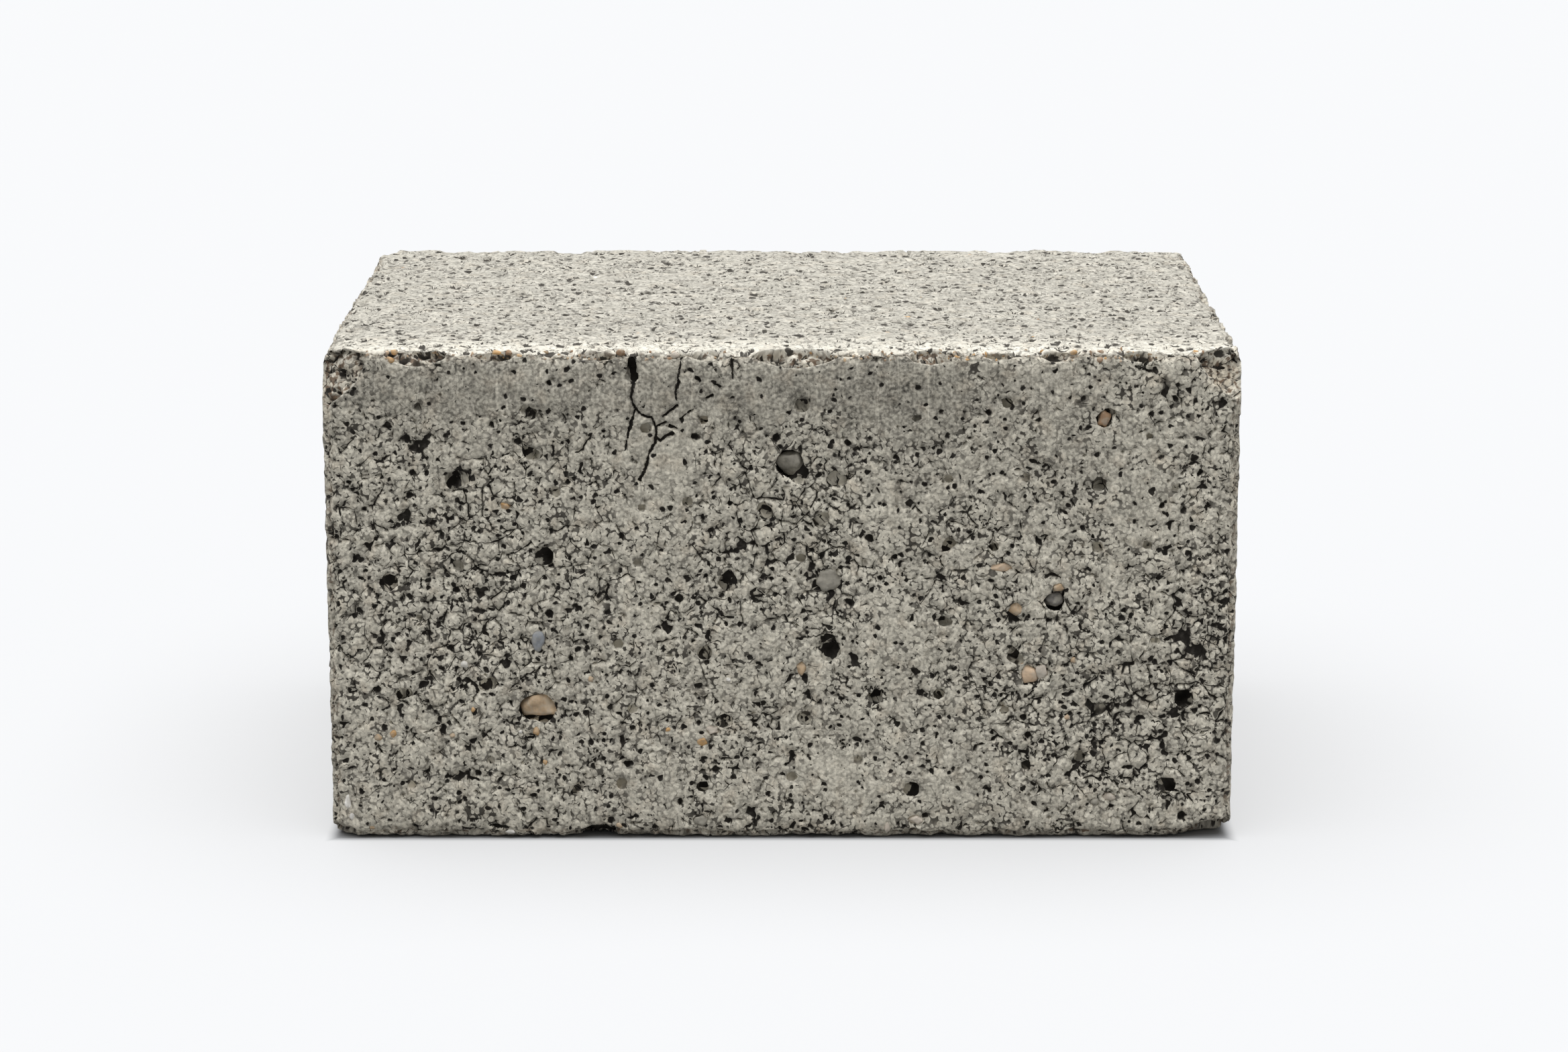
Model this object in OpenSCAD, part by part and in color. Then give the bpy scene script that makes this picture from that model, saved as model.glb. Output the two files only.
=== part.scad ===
// Solid concrete building block, pressed in a mould as one piece, with the
// worn arrises, knocked corners and open voids of a block that has been handled.
// X runs along its length, Y through its depth and Z up from the bottom bed.
// The origin is the middle of the bottom bed, and the shown face looks along -Y.

/* [Block] */
// Length along the wall
block_l = 390; // [250:5:500]
// Depth through the wall
block_d = 270; // [150:5:350]
// Height from bed to bed
block_h = 215; // [140:5:300]

/* [Worn arrises] */
// Radius worn on the four upright arrises
upright_r = 5; // [1:0.5:12]
// Radius worn on the four arrises round the top bed
top_r = 3.5; // [1:0.5:10]
// Radius worn on the four arrises round the bottom bed
bottom_r = 4; // [1:0.5:10]

/* [Spalls on the unseen arrises] */
// How many spalls each of these arrises has
spall_count = 5; // [1:1:10]
// Length of the longest spall
spall_l = 34; // [16:1:60]
// Depth of the deepest spall, square to its arris
spall_depth = 4; // [3:0.5:8]

/* [Knocked corners] */
// Radius of the hollow that a knock leaves
knock_r = 45; // [40:5:200]
// How far the knocks reach along the arrises, as a share of the listed legs
knock_reach = 1; // [0.6:0.05:1.4]

/* [Open voids] */
// Spacing of the voids that are strewn over every face
void_pitch = 30; // [24:1:60]
// Length of the longest strewn void's mouth on the shown face
shown_void_l = 7; // [4:0.5:10]
// Length of the longest strewn void's mouth on the top bed
top_void_l = 5; // [3:0.5:10]
// Length of the longest strewn void's mouth on the other faces
void_l = 11; // [5:0.5:12]

/* [Hidden] */
$fn = 64;

half = [block_l, block_d, block_h] / 2;
middle = [0, 0, half.z];

// A side is named by its outward direction: a face has one sign, an arris two
// and a corner three, and a zero leaves that axis free.
front = [0, -1, 0];
back = [0, 1, 0];
left = [-1, 0, 0];
right = [1, 0, 0];
top = [0, 0, 1];
bottom = [0, 0, -1];

// Spalls of the two arrises that the shown face carries, from left to right:
// share along the arris from -1 to 1, length, and depth square to the arris.
front_top_spalls = [
    [-0.79, 30, 5.5], [-0.62, 22, 3.4], [-0.40, 24, 3], [-0.15, 20, 3.8],
    [0.03, 40, 6], [0.32, 22, 5], [0.47, 18, 3], [0.60, 18, 3.8], [0.78, 24, 3.6],
];
front_bottom_spalls = [
    [-0.70, 34, 2.6], [-0.403, 24, 5], [-0.22, 15, 2.8], [-0.03, 14, 2.8],
    [0.29, 13, 3.8], [0.50, 18, 3], [0.66, 24, 3],
];
spalled_arrises = [
    back + top, back + bottom, left + top, left + bottom,
    right + top, right + bottom, back + left, back + right,
];

// The corners that were knocked off, each with its legs along X, Y and Z.
knocks = [
    [left + front + top, [21, 12, 25]], [right + front + top, [20, 11, 23]],
    [left + front + bottom, [15, 11, 9]], [right + front + bottom, [27, 14, 9]],
    [left + back + top, [12, 13, 8]], [right + back + top, [14, 11, 9]],
    [left + back + bottom, [11, 14, 8]], [right + back + bottom, [13, 10, 12]],
];

// Large voids of the shown face: shares along its length and height, length of
// the mouth, and the way that the mouth runs, in degrees from level.
front_voids = [
    [-0.713, 0.474, 9, 10], [-0.547, 0.587, 6.5, -20], [-0.324, 0.9, 8, 85],
    [0.018, 0.544, 14, -50], [0.115, 0.482, 6.5, -15], [0.084, 0.308, 7, 60],
    [0.698, 0.722, 8, 50], [-0.551, -0.456, 13, -25], [-0.649, -0.359, 7, 15],
    [0.105, -0.22, 11, 100], [0.597, -0.014, 9, 70], [0.509, -0.24, 7, -40],
];
front_places = [for (v = front_voids) on_side(front, [v[0], 0, v[1]])];

// The faces that voids are strewn over, each with its longest void.
strewn_faces = [
    [front, shown_void_l], [top, top_void_l], [bottom, void_l],
    [back, void_l], [left, void_l], [right, void_l],
];

// A long void is two balls side by side. Each one's mouth is this wide, and
// their middles are this far apart, as shares of the void's length. A round
// void is one ball. This share of the strewn voids is long.
void_mouths = [0.66, 0.5];
void_apart = 0.42;
long_share = 0.3;
// Depth of each ball, as a share of its own mouth.
void_depth = 0.4;
// How far a strewn void may reach from its middle, as a share of its length.
void_reach = 0.75;
// Shortest strewn void, as a share of the longest, and how rare the longer ones are.
least_void = 0.4;
long_rarity = 2;

// Random draws start from these, and each face has its own run of void draws.
spall_seed = 20;
void_seed = 70;
face_draws = 1000;
// Smallest random spall, as a share of the largest.
least_spall = 0.6;
// How close to the end of its arris a spall may come, as a share of the arris.
spall_span = 0.85;
// How far a strewn void's cell stays from the arrises, and how far its middle
// stays from a large void and from the face's own middle, which is kept sound.
void_edge = 16;
void_clear = 16;
// How far a cut runs past the face that it starts from.
cut_margin = 1;

function unit(v) = v / norm(v);

// Point on a side, with the free axes at the shares t from -1 to 1.
function on_side(side, t) =
    middle + [for (i = [0:2]) half[i] * (side[i] == 0 ? t[i] : side[i])];

// Direction in a face, turned from its first free axis towards its second.
function in_face(face, turn) =
    let (c = cos(turn), s = sin(turn))
    face.x != 0 ? [0, c, s] : face.y != 0 ? [c, 0, s] : [c, s, 0];

// Radius of a ball that leaves a mouth of width w and depth d in a flat.
function mouth_ball(w, d) = (w * w / 4 + d * d) / (2 * d);

// Whether the point p keeps clear of all the points that are taken.
function is_clear(p, taken) = min([for (t = taken) norm(p - t)]) > void_clear;

// Centre, from the corner and inwards, of the ball of radius r that passes
// through the ends of three legs and lies on the corner's outer side.
function knock_centre(legs, r) =
    let (
        start = [legs.x, 0, 0],
        ab = [-legs.x, legs.y, 0],
        ac = [-legs.x, 0, legs.z],
        n = cross(ab, ac),
        to_circle = (cross(n, ab) * (ac * ac) + cross(ac, n) * (ab * ab)) / (2 * n * n),
        rise = sqrt(r * r - to_circle * to_circle)
    )
    start + to_circle - unit(n) * rise;

// Rectangle centred on X from y = 0, with its low and high corners rounded.
module worn_outline(w, h, low_r, high_r) {
    difference() {
        translate([-w / 2, 0]) square([w, h]);
        for (s = [-1, 1]) {
            corner_waste([s * w / 2, 0], [-s, 1], low_r);
            corner_waste([s * w / 2, h], [-s, -1], high_r);
        }
    }
}

// What rounding takes off a square corner, inwards being a pair of signs.
module corner_waste(corner, inwards, r) {
    translate(corner) into_quadrant(inwards) difference() {
        translate([-cut_margin, -cut_margin]) square(r + cut_margin);
        translate([r, r]) circle(r);
    }
}

// Mirrors a drawing of the first quadrant into the quadrant of two signs.
module into_quadrant(signs) {
    mirror([signs.x < 0 ? 1 : 0, 0]) mirror([0, signs.y < 0 ? 1 : 0]) children();
}

// The block as it left the mould and wore: the solid common to its plan, its
// front elevation and its end elevation.
module worn_body() {
    intersection() {
        translate([0, -half.y, 0])
            linear_extrude(block_h) worn_outline(block_l, block_d, upright_r, upright_r);
        translate([0, half.y, 0]) rotate([90, 0, 0])
            linear_extrude(block_d) worn_outline(block_l, block_h, bottom_r, top_r);
        translate([-half.x, 0, 0]) rotate([90, 0, 90])
            linear_extrude(block_l) worn_outline(block_d, block_h, bottom_r, top_r);
    }
}

// Ball with its seam turned outwards, so that the hollow it leaves is one patch.
module ball(centre, outwards, r) {
    level = norm([outwards.x, outwards.y]);
    turn = [0, -atan2(outwards.z, level), atan2(outwards.y, outwards.x)];
    translate(centre) rotate(turn) sphere(r);
}

// Ball that hollows a side by depth at the point p.
module scoop(p, side, r, depth) {
    ball(p + unit(side) * (r - depth), side, r);
}

module spall(arris, share, length, depth) {
    scoop(on_side(arris, [share, share, share]), arris, mouth_ball(length, depth), depth);
}

module random_spalls(arris, seed) {
    shares = rands(-spall_span, spall_span, spall_count, seed);
    sizes = rands(least_spall, 1, spall_count, seed + 0.5);
    for (i = [0:spall_count - 1])
        spall(arris, shares[i], spall_l * sizes[i], spall_depth * sizes[i]);
}

module knock(corner, legs) {
    from_corner = knock_centre(legs * knock_reach, knock_r);
    inwards = [for (i = [0:2]) -corner[i] * from_corner[i]];
    ball(on_side(corner, corner) + inwards, corner, knock_r);
}

module long_void(face, p, length, turn) {
    for (i = [0, 1])
        round_void(face, p + i * void_apart * length * in_face(face, turn), length * void_mouths[i]);
}

module round_void(face, p, mouth) {
    depth = mouth * void_depth;
    scoop(p, face, mouth_ball(mouth, depth), depth);
}

// Voids strewn over a face, one in each cell of a grid, moved and sized by
// random draws. A cell stays sound where its void would come near a large one.
module strewn_voids(face, longest, seed) {
    face_middle = on_side(face, [0, 0, 0]);
    inner = [for (i = [0:2]) face[i] == 0 ? half[i] - void_edge : 0];
    cells = [for (s = inner) max(1, floor(2 * s / void_pitch))];
    stray = max(0, void_pitch / 2 - void_reach * longest);
    for (x = [0:cells.x - 1], y = [0:cells.y - 1], z = [0:cells.z - 1]) {
        draws = rands(0, 1, 6, seed + x + cells.x * (y + cells.y * z));
        p = face_middle + [for (i = [0:2]) face[i] != 0 ? 0
            : inner[i] * (2 * ([x, y, z][i] + 0.5) / cells[i] - 1) + stray * (2 * draws[i] - 1)];
        length = longest * (least_void + (1 - least_void) * pow(draws[3], long_rarity));
        if (is_clear(p, concat([face_middle], front_places))) {
            if (draws[4] < long_share) long_void(face, p, length, 360 * draws[5]);
            else round_void(face, p, length);
        }
    }
}

module concrete_block() {
    color([0.56, 0.55, 0.52]) difference() {
        worn_body();
        for (s = front_top_spalls) spall(front + top, s[0], s[1], s[2]);
        for (s = front_bottom_spalls) spall(front + bottom, s[0], s[1], s[2]);
        for (i = [0:len(spalled_arrises) - 1])
            random_spalls(spalled_arrises[i], spall_seed + i);
        for (k = knocks) knock(k[0], k[1]);
        for (i = [0:len(front_voids) - 1])
            long_void(front, front_places[i], front_voids[i][2], front_voids[i][3]);
        for (i = [0:len(strewn_faces) - 1])
            strewn_voids(strewn_faces[i][0], strewn_faces[i][1], void_seed + i * face_draws);
    }
}

concrete_block();
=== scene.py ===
"""The looks of a solid concrete block: its open-textured cast surface, with crevices, pores, cracks
and crumbled arrises, and the stones that show in it. Millimetres are used for everything on the block."""

import math
import random

import bmesh
import bpy
import numpy as np
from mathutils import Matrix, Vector, noise
from mathutils.bvhtree import BVHTree


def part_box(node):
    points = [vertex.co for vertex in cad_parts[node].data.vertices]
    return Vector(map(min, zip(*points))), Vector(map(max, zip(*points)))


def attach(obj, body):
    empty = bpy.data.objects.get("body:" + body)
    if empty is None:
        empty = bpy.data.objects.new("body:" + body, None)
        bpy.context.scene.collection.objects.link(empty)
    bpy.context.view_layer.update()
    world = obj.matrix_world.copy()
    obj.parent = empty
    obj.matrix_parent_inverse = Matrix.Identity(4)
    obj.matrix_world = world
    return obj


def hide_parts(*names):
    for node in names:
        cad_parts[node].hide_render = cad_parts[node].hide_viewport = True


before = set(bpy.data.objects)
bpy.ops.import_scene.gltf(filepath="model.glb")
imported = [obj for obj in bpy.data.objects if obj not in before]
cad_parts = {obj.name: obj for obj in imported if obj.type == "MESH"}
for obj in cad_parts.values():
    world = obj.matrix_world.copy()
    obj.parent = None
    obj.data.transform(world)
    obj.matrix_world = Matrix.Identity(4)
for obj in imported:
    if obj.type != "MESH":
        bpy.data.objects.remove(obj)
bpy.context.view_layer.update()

MM = 0.001
BLOCK_LOW, BLOCK_HIGH = (np.array(corner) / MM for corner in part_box("concrete_block"))
BLOCK_MIDDLE = (BLOCK_LOW + BLOCK_HIGH) / 2
BLOCK_HALF = (BLOCK_HIGH - BLOCK_LOW) / 2
FRONT_Y = BLOCK_LOW[1]

# Camera, fitted to the block's edges in the photograph, with its place and clipping in metres
IMAGE_W = 2337
FOCAL_PX = 6050
SENSOR_MM = 36
CAMERA_PLACE = (0.00095, -1.813, 0.5297)
CAMERA_PITCH_DEG = 13.10
CAMERA_CLIP = (0.1, 100)

# Light and floor, with the floor's size in metres
SUN_STRENGTH = 3.8
SUN_COLOUR = (0.97, 0.99, 1.04)
SUN_ANGLE_DEG = 80
SUN_TILT_DEG = (4, -2, 0)
SKY_STRENGTH = 0.44
FLOOR_SIZE = 24
FLOOR_COLOUR = (0.31, 0.311, 0.309)
FLOOR_GLOW = 0.45
# The glow starts from this far inside the block's foot, and is full this far outside it, so that a painted
# contact shadow runs round the foot
CONTACT_SHADOW_EDGE = (-4, 3)

# Mesh: the grid that it is made even on, and how many triangles each of two thinnings leaves
VOXEL_MM = 0.85
FIRST_TRIANGLES = 480_000
TRIANGLES = 190_000
# The first one spares the front face, its arrises and those round the top, which reach this far
SHOWN_DEPTH = 9
SHOWN_RIM = 5

# Colours, as linear values
PASTE = (0.432, 0.402, 0.329)
WARM_PASTE = (0.41, 0.36, 0.28)
DUST = (0.43, 0.412, 0.362)
# Painted shade: the near black of a hollow's middle, and the dark at its rim
HOLLOW_SHADE = (0.015, 0.0125, 0.0095)
RIM_SHADE = (0.13, 0.118, 0.098)
# Painted shade for the gaps between sand grains
SAND_GAP_SHADE = (0.04, 0.035, 0.028)
BROWN_CRUMB = (0.12, 0.075, 0.045)

# What each face is like: how open its texture is, how light it is, partly its own tone and partly painted
# light that sets how light each face looks, how much of its sand shows, and how pitted it is, stored under
# these names
FACE_MARKS = ("openness", "tone", "grit", "pitted")
FACES = {
    "front": (0.55, 1.21, 1.0, 0.015),
    "back": (0.54, 1.12, 1.0, 0.015),
    "left": (0.54, 1.10, 1.0, 0.015),
    "right": (0.54, 1.10, 1.0, 0.015),
    "top": (0.55, 1.05, 0.6, 0.12),
    "bottom": (0.44, 0.98, 0.8, 0.05),
}
# The axis that each face looks along, and whether it is on the high side
FACE_SIDES = {
    "left": (0, False), "right": (0, True), "front": (1, False),
    "back": (1, True), "bottom": (2, False), "top": (2, True),
}
# Spots of the front face that are more or less open: middle and reach along X and Z, and what each one adds
FRONT_SPOTS = (
    (-150, 197, 48, 15, -0.35),
    (-20, 198, 85, 16, -0.50),
    (52, 192, 30, 26, -0.42),
    (118, 182, 22, 34, -0.30),
    (148, 142, 20, 34, -0.30),
    (-52, 168, 12, 34, -0.40),
    (48, 140, 9, 30, -0.35),
    (44, 96, 9, 30, -0.30),
    (20, 22, 26, 20, -0.25),
    (-57, 20, 16, 22, -0.28),
    (68, 24, 30, 22, -0.20),
    (-172, 140, 26, 42, 0.25),
    (-115, 132, 26, 44, 0.25),
    (4, 140, 34, 44, 0.33),
    (176, 100, 30, 44, 0.38),
    (140, 42, 42, 30, 0.22),
    (-125, 82, 42, 30, 0.22),
    (82, 138, 24, 20, 0.25),
    (110, 86, 28, 26, 0.22),
)
# The same for the tone
FRONT_TONES = (
    (-150, 198, 52, 20, -0.36),
    (-15, 200, 90, 20, -0.42),
    (55, 192, 34, 26, -0.28),
    (118, 182, 24, 34, -0.16),
    (20, 26, 60, 24, 0.07),
    (0, 215, 400, 4, -0.22),
    (46, 100, 10, 34, 0.10),
    (89, 27.5, 1.5, 5, 0.25),
)
# The strip of the top face along its front arris is lighter, as painted light: how far it reaches, and how
# much lighter it is
PAINTED_LIGHT_STRIP = (26, 0.52)

# Cracks of the front face, cut in and painted dark as their shade, as points along X and Z with the half
# width there
CRACKS = (
    ((-61, 214.5, 0.6), (-63, 211, 1.3), (-63, 207.5, 1.1), (-62.8, 205, 0.7), (-62.8, 203, 0.5),
     (-62.7, 200, 0.7), (-63, 197.5, 0.5), (-63.6, 194.5, 0.25), (-62.9, 192, 0.35), (-61.8, 190, 0.6),
     (-59, 187, 0.35), (-55, 186, 0.35), (-53.5, 183, 0.4), (-53, 180, 0.5), (-53.3, 177.5, 0.4),
     (-53.7, 175, 0.6), (-55, 172.5, 0.6), (-56.3, 170, 0.35), (-57, 166.5, 0.7), (-58, 163, 0.6),
     (-60.3, 159, 0.6)),
    ((-62, 189, 0.35), (-62.7, 186.5, 0.3), (-63.6, 183.5, 0.8), (-64.5, 180.5, 0.6), (-65.2, 178, 0.35),
     (-65.7, 174.5, 0.35), (-66.2, 172, 0.25)),
    ((-42, 212, 0.25), (-42.8, 208, 0.35), (-43.6, 203.5, 0.4), (-43.7, 200.5, 0.45), (-44.8, 197.5, 0.3),
     (-44.4, 193.5, 0.3)),
    ((-44.4, 191, 0.7), (-47.3, 189, 0.7), (-50, 186.5, 0.25)),
    ((-52.6, 182.5, 0.4), (-49.2, 184, 0.4)),
    ((-47.4, 182.5, 0.6), (-44.4, 181.5, 0.35)),
    ((-53.2, 178, 0.4), (-51.3, 176, 0.5), (-49.2, 178, 0.5), (-46.5, 179, 0.8)),
    ((-43.3, 184.5, 0.2), (-40.6, 187.5, 0.2), (-37.4, 189.5, 0.2)),
    ((-21.3, 212, 0.2), (-21, 208, 0.6), (-20.7, 203, 0.2)),
    ((-36.2, 203, 0.6), (-34.4, 202, 0.6)),
    ((-28.3, 200.5, 0.5), (-26, 199.5, 0.5)),
    ((-31.5, 194.5, 0.5), (-29.3, 195.5, 0.6)),
    ((-125.5, 6.3, 0.5), (-122, 5.6, 0.7), (-118.5, 5.2, 0.4)),
    # The last is no crack but the notch in the bottom arris, cut in and painted dark as its shade
    ((-86, 0, 0.6), (-81, 1.5, 1.8), (-76, 2, 2.2), (-72, 0, 0.6)),
)
# Further than any place is from a crack
FAR = 1000.0
# Depth of cracks and of the gaps beside stones
CRACK_DEPTH = 2.6
# How fast a crack ends as the surface falls away behind the front face
CRACK_FADE = 0.1

# Hollows of the solid that lie further than this from an arris are voids, and nearer ones are spalls and
# knocks. One runs into the other over the blend.
VOID_FROM_ARRIS = 9
VOID_BLEND = 4
# The front's voids are painted with shade as dark as that of ones this many times as deep
FRONT_VOID_GAIN = 1.15
# How much shallower the lower wall of an upright face's void looks, as light falls on it
VOID_LIT = 0.75

# The faces are uneven along their arrises: how far from them, how far below the top, and the share of it
# that is left further down
RIM_REACH = 17
RIM_DROP = 12
RIM_BELOW = 0.25

# How much of the roughness is taken off, so that its high points reach the moulded faces
HIGH_POINTS = 0.45

# Grains that the surface is packed from: size, how far from a grain's middle a gap opens, as a share of
# the size, half width of the crevices between grains or 0 for none, how loose they must lie for one, and
# depth
GRAINS = (
    (10.0, 1.01, 0.62, -0.03, 2.6),
    (5.6, 0.87, 0.42, 0.06, 1.6),
    (3.3, 0.84, 0, 0, 0.8),
)
# How fast the surface falls away from a grain's middle, for each of the sizes
BULGES = (0.03, 0.10, 0.13)
# Pores: size of the cells, largest radius, depth, and the share of cells that have one
PORES = (
    (8.0, 2.4, 2.6, 0.38),
    (3.9, 1.6, 1.2, 0.65),
)
# A pore's cell must draw more than the first of these less its share, and the second gives the largest pore
PORE_DRAWS = (1.08, 1.14)
# What an open patch adds to the draws, and how much larger the pores are where a face is pitted
OPEN_PORES = 0.14
PITTED_GROWTH = 5
# A pore is full at this share of its radius
PORE_FLOOR = 0.5

# Below, a noise is given by its size and its reach, and a ramp by where it starts and where it ends, and by
# its values there if they aren't 0 and 1

# Grains and pores are bent out of round
BEND_SIZE = 4.5
BEND_REACH = 2.2
# Patches are more or less open
PATCH_NOISE = (30, 0.42)
# The surface is crumbled near an arris and where the solid is worn, and is this open there
CRUMBLE_NOISE = (8, 4.5)
CRUMBLE_RAMP = (6.0, 0.5, 0, 0.85)
WORN_RAMP = (0.4, 1.6)
CRUMBLED_OPENNESS = 0.8
# Cracks, sockets, voids and pores have ragged edges
CRACK_NOISE = (1.2, 0.8)
CRACK_RAMP = (0.28, -0.08)
SOCKET_NOISE = (3.4, 0.9)
SOCKET_RAMP = (0.55, 0.95)
VOID_NOISE = (1.7, 3.4)
VOID_RAMP = (1.3, 2.0)
PORE_NOISE = (1.7, 0.9)
# How loose the grains lie: a factor of the openness, and what is added to it
LOOSENESS = (0.26, -0.14)
# It swings over this share of a grain's size, by this much
LOOSE_PITCH = 0.5
LOOSE_REACH = 0.34
# How soon gaps and crevices between grains are full
GAP_BLEND = 0.1
CREVICE_BLEND = 0.16
# Crumbled places are chipped and broken to crumbs, and the walls of voids are broken too
CHIP_SIZE = 7.5
CHIP_RAMP = (0.40, 0.66, 0, 3.0)
BROKEN_SIZE = 3.4
BROKEN_HEIGHT = 0.5
VOID_WALL_RAMP = (0.1, 0.6, 0, 1.3)
# Broad waves, and dimples in open patches
WAVE_SIZE = 34
WAVE_HEIGHT = 0.7
DIMPLE_SIZE = 6
DIMPLE_HEIGHT = 0.8
# Hollows along the arrises
RIM_SIZE = 13
RIM_RAMP = (0.42, 0.66, 0, 2.2)
# How much the grains bulge, by openness
PACKED_RAMP = (0.0, 0.5, 0.25, 1.0)

# Tones of the concrete
MOTTLE_NOISE = (7.4, 0.22)
BROAD_NOISE = (48, 0.10)
SAND_NOISE_SIZE = 1.5
SAND_RAMP = (0.34, 0.66, -0.30, 0.30)
GRAIN_TONE = 0.20
SAND_SIZE = 1.7
# A factor of each sand grain's random number, and what is added to it
SAND_TONE = (0.30, -0.25)
# Crumbled places are lighter: the broken concrete's own tone, with painted light on broken faces that look
# up
CRUMBLED_TONE_AND_LIGHT = 0.06
# Painted shading: grains are lighter at their middles and darker towards their edges, as domes look when lit
# from above
DOME_SHADE_RAMP = (0.40, 1.05, 0.16, -0.28)
# Upright streaks on the smoother skin
STREAK_STRETCH = (1, 1, 0.04)
STREAK_SIZE = 1.8
STREAK_RAMP = (0.58, 0.74)
SMOOTH_RAMP = (0.42, 0.10)
STREAK_TONE = 0.42
# Warm patches, more so where the surface is crumbled, and brown crumbs there
WARMTH_SIZE = 9
WARMTH_RAMP = (0.48, 0.75, 0, 0.7)
CRUMBLED_WARMTH = 0.25
BROWN_SIZE = 2.4
BROWN_RAMP = (0.50, 0.62, 0, 0.9)
# Painted shade in the gaps between sand grains: where it starts and ends, as shares of the size, where there
# is more of it, and how much is left on the smoother skin
SAND_GAPS = (0.61, 0.71)
GAP_PATCH_SIZE = 13
GAP_PATCH_RAMP = (0.32, 0.62, 0.4, 0.95)
SMOOTH_GAPS_RAMP = (0.0, 1.0, 1.0, 0.35)
# Hollows are painted with shade: that of their rims, that of their middles, and how much lighter the
# middles' shade is in places, less so on sandy faces
RIM_SHADE_RAMP = (0.25, 0.75, 0, 0.85)
HOLLOW_SHADE_RAMP = (0.4, 0.9)
SHADE_LIFT_SIZE = 2.2
SHADE_LIFT_RAMP = (0.45, 0.75, 0.9, 1.15)
SHADE_LIFT_BY_GRIT = -0.9
# Roughness and specular level, and the fine bump: size and height of its grains, height of the small grains
# of the relief, and strength
CONCRETE_GLOSS = (0.92, 0.25)
FINE_SIZE = 1.1
FINE_HEIGHT = -0.10
SMALL_GRAIN_HEIGHT = -0.15
CONCRETE_BUMP = 0.8
# Each cell's random number comes from its place by these factors
CELL_HASH = (37.1, 53.7, 71.3)

# Stones that show
STONE_COLOURS = {
    "tan": (0.44, 0.32, 0.20),
    "orange": (0.56, 0.34, 0.15),
    "pale": (0.58, 0.51, 0.42),
    "white": (0.74, 0.71, 0.65),
    "grey": (0.27, 0.25, 0.205),
    "blue": (0.33, 0.345, 0.36),
    "brown": (0.30, 0.19, 0.11),
    "pink": (0.54, 0.40, 0.27),
    "dark": (0.13, 0.12, 0.105),
}
# Those of the front face: place along X and Z, width, height, how far below the face it starts, and colour
FRONT_STONES = (
    (3.2, 166.3, 10.5, 10.5, 0.8, "grey"), (20, 115, 9.5, 9.5, 0.4, "grey"),
    (-104, 88, 6, 10, 0.5, "blue"), (-103.5, 59.4, 14, 11, 0.3, "tan"), (116, 106, 7.4, 6, 0.7, "dark"),
    (118, 112, 5, 4, 0.5, "tan"), (106, 73.5, 7.4, 9, 0.5, "pink"),
    (111.3, 74.8, 4.6, 5.6, 0.4, "pale"), (136, 185, 5, 6.5, 0.6, "brown"),
    (93, 121, 9, 3.5, 0.5, "pink"), (100, 103, 5, 6, 0.6, "tan"), (-30, 49, 5, 4.5, 0.4, "pale"),
    (-34.4, 43.6, 4, 4.2, 0.4, "orange"), (8, 76, 4, 6, 0.6, "tan"), (-34.6, 8.3, 6, 5, 0.6, "grey"),
    (141, 18.6, 6, 4, 0.4, "pale"), (135, 16.8, 4, 4, 0.5, "grey"), (58, 8.6, 6, 5, 0.4, "pale"),
    (-117.6, 147.7, 4.3, 3.4, 0.4, "orange"), (-136, 78, 3.2, 3.4, 0.3, "white"),
    (-167, 47.2, 3.5, 3.5, 0.4, "orange"), (-173.6, 45.7, 3.5, 3, 0.4, "tan"),
    (-105.6, 48.6, 3, 4, 0.4, "orange"), (-112.2, 48.1, 1.6, 1.5, 0.3, "white"),
    (-132.5, 58, 2, 2, 0.4, "orange"), (-141.6, 46.6, 2.2, 2, 0.4, "tan"),
    (-101.7, 34.6, 2, 2.4, 0.4, "orange"), (-117.2, 3.2, 4, 2, 0.5, "white"),
    (-177, 5, 3, 2.5, 1.2, "tan"), (-49, 49.2, 2, 2, 0.4, "orange"), (-22.8, 71.6, 2, 2, 0.3, "white"),
    (-81.7, 71.6, 2.4, 2.2, 0.4, "tan"), (-70.5, 6, 3, 2.6, 0.6, "tan"),
    (124.8, 80, 2.4, 2.4, 0.4, "tan"), (122.6, 54.6, 2.3, 2.3, 0.4, "pink"),
    (45.4, 5.6, 2, 5, 0.5, "pale"), (-164.8, 210.4, 3, 3, 0.8, "orange"),
    (-163, 213.6, 3, 2.4, 2.0, "orange"), (-120, 213.4, 3.4, 2.2, 2.2, "orange"),
    (-115, 213.4, 3, 2, 2.2, "brown"), (-44.9, 212.4, 3.4, 3, 1.2, "pale"),
    (-67.8, 213.4, 3.6, 2.6, 2.0, "brown"), (123, 213.6, 3, 2, 2.0, "orange"),
    (134, 210.6, 2.6, 2.6, 0.9, "brown"), (-187.5, 16.5, 2.4, 7, 0.5, "white"),
    (-185.6, 9.8, 3, 5, 0.8, "white"),
)
# How many are strewn over each of the other faces, how often each colour comes, the sizes, and the share
# of the face that they reach over
STREWN = {"back": 44, "left": 26, "right": 26, "top": 26, "bottom": 24}
STREWN_COLOURS = {
    "tan": 6, "orange": 5, "pale": 4, "white": 2, "grey": 6, "brown": 2, "pink": 2, "dark": 1, "blue": 1,
}
STREWN_SIZE = (1.8, 8.5)
STREWN_SHARE = 0.92
STONE_SEED = 11
# Crumbs that show along the front's top arris: how many, how far below the top, sizes, and colours
CRUMBS = 110
CRUMB_DROP = (1.5, 5)
CRUMB_SIZE = (1.3, 3.4)
CRUMB_COLOURS = {"brown": 5, "orange": 2, "tan": 4, "dark": 1, "pink": 1}
# A stone's thickness as a share of its shorter side, and how uneven it is
STONE_THICKNESS = 0.8
STONE_LUMPS = 0.35
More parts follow.
